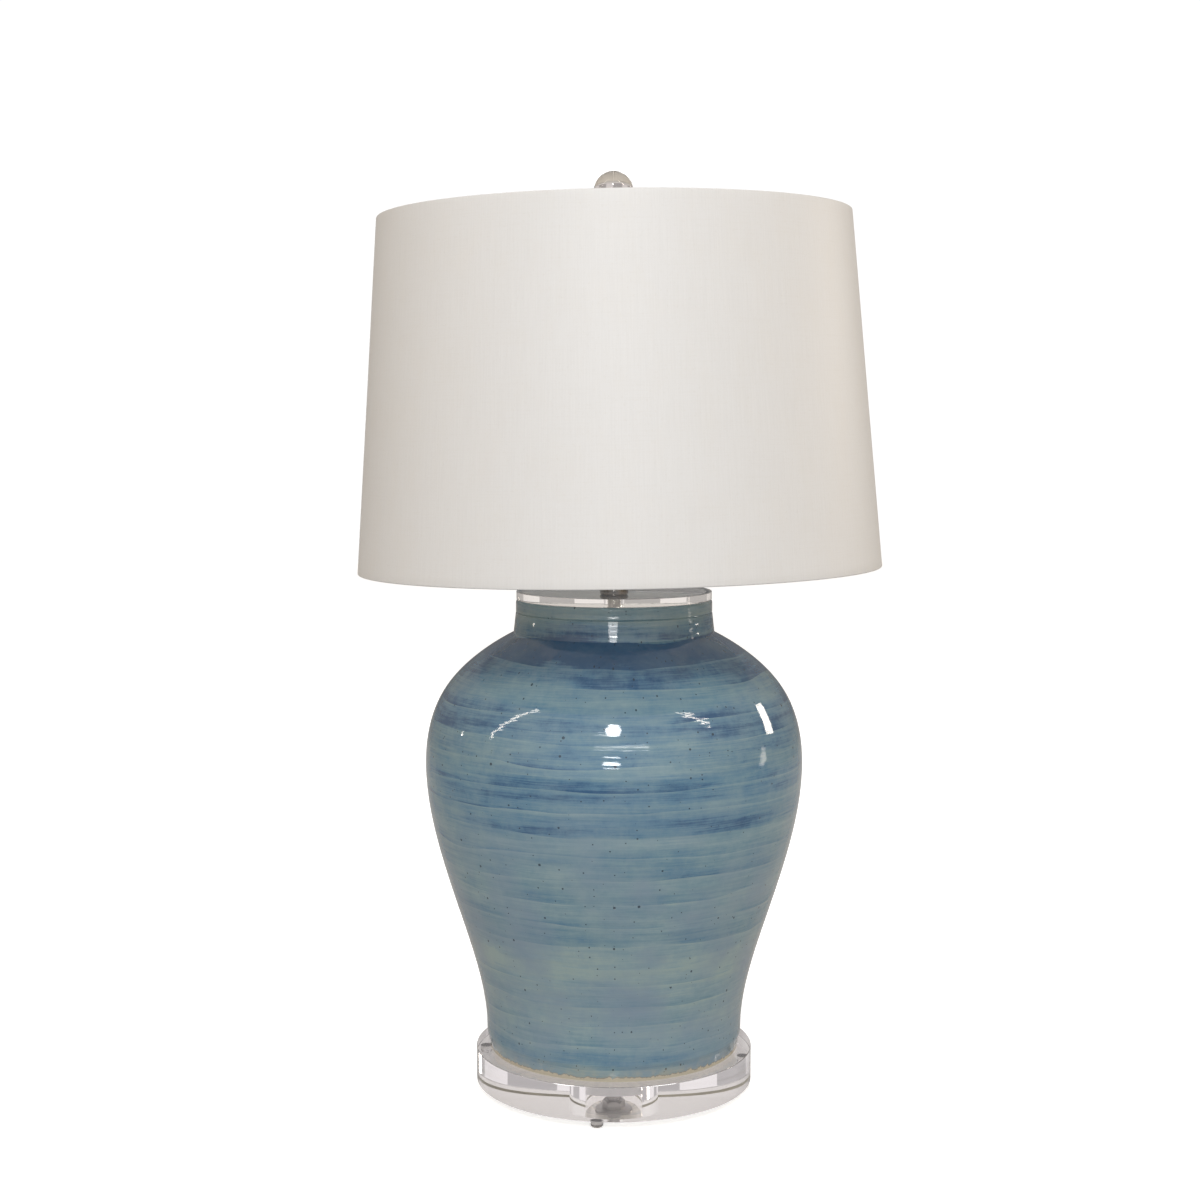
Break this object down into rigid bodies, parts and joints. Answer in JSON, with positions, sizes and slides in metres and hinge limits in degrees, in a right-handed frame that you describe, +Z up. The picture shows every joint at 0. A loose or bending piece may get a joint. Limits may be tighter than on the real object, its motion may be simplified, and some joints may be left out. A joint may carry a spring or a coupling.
{
  "type": "table lamp",
  "caption": "Table lamp: glazed ceramic jar on a clear disc, clear cap disc, socket, harp, ball finial and a tapered drum shade.",
  "frame": {"origin": "middle of the lamp on the surface its feet stand on", "axes": "+Z up; the cord outlet is at the back, +Y; the switch knob points to the front, -Y"},
  "size_m": [0.4064, 0.4064, 0.7178],
  "materials": {
    "clear_acrylic": "polished",
    "clear_bumper": "clear soft plastic",
    "zinc_steel": "zinc plated",
    "blue_glaze": "glossy glaze brushed on in level bands",
    "black_moulding": "satin",
    "black_nickel": "polished",
    "nickel": "satin nickel",
    "fibre": "dull",
    "brass": "rolled",
    "bulb_cap_metal": "rolled thread",
    "frosted_glass": "frosted",
    "bulb_inner_glass": "clear",
    "shade_cloth": "off-white slubbed weave",
    "shade_lining": "matt styrene",
    "white_wire": "white powder coat"
  },
  "bodies": {
    "lamp": {"foot_1": "clear_bumper", "foot_2": "clear_bumper", "foot_3": "clear_bumper", "foot_4": "clear_bumper", "base_disc": "clear_acrylic", "lower_washer": "zinc_steel", "lower_nut": "zinc_steel", "jar": "blue_glaze", "cord_bushing": "black_moulding", "lamp_pipe": "zinc_steel", "cap_disc": "clear_acrylic", "neck_ring": "black_nickel", "neck_riser": "black_nickel", "harp_saddle": "nickel", "saddle_nut": "zinc_steel", "socket_cap": "nickel", "socket_set_screw": "zinc_steel", "socket_shell": "nickel", "socket_insulator": "fibre", "socket_body": "black_moulding", "terminal_screws": "zinc_steel", "screw_shell": "brass", "centre_contact": "brass"},
    "switch": {"switch_shaft": "nickel", "switch_knob": "black_moulding"},
    "bulb": {"bulb_glass": "frosted_glass", "bulb_base": "bulb_cap_metal", "bulb_collar": "black_moulding", "bulb_tip": "brass", "bulb_stem": "bulb_inner_glass"},
    "harp": {"harp_wire": "nickel", "harp_plate": "nickel", "harp_stud": "nickel"},
    "ferrule_left": {"ferrule_left": "nickel"},
    "ferrule_right": {"ferrule_right": "nickel"},
    "washer": {"finial_washer": "black_nickel"},
    "shade": {"shade_fabric": "shade_cloth", "shade_liner": "shade_lining", "top_hem": "shade_cloth", "bottom_hem": "shade_cloth", "top_ring": "white_wire", "bottom_ring": "white_wire", "spider": "white_wire"},
    "finial": {"finial_base": "nickel", "finial_ball": "clear_acrylic"}
  },
  "joints": [
    {"name": "switch_turn", "type": "hinge", "parent": "lamp", "child": "switch", "pos_m": [0, -0.0202, 0.4382], "axis": [0, -1, 0], "continuous": true},
    {"name": "bulb_lift", "type": "slide", "parent": "lamp", "child": "bulb", "axis": [0, 0, 1], "range_m": [0, 0.03]},
    {"name": "harp_lift", "type": "slide", "parent": "lamp", "child": "harp", "axis": [0, 0, 1], "range_m": [0, 0.03]},
    {"name": "ferrule_left_slide", "type": "slide", "parent": "harp", "child": "ferrule_left", "axis": [0, 0, 1], "range_m": [0, 0.012]},
    {"name": "ferrule_right_slide", "type": "slide", "parent": "harp", "child": "ferrule_right", "axis": [0, 0, 1], "range_m": [0, 0.012]},
    {"name": "shade_lift", "type": "slide", "parent": "harp", "child": "washer", "axis": [-0.0168, 0, 0.9999], "range_m": [0, 0.285]},
    {"name": "shade_turn", "type": "hinge", "parent": "washer", "child": "shade", "pos_m": [0, 0, 0.6673], "axis": [-0.0168, 0, 0.9999], "continuous": true},
    {"name": "finial_lift", "type": "slide", "parent": "washer", "child": "finial", "axis": [-0.0168, 0, 0.9999], "range_m": [0, 0.015]}
  ]
}
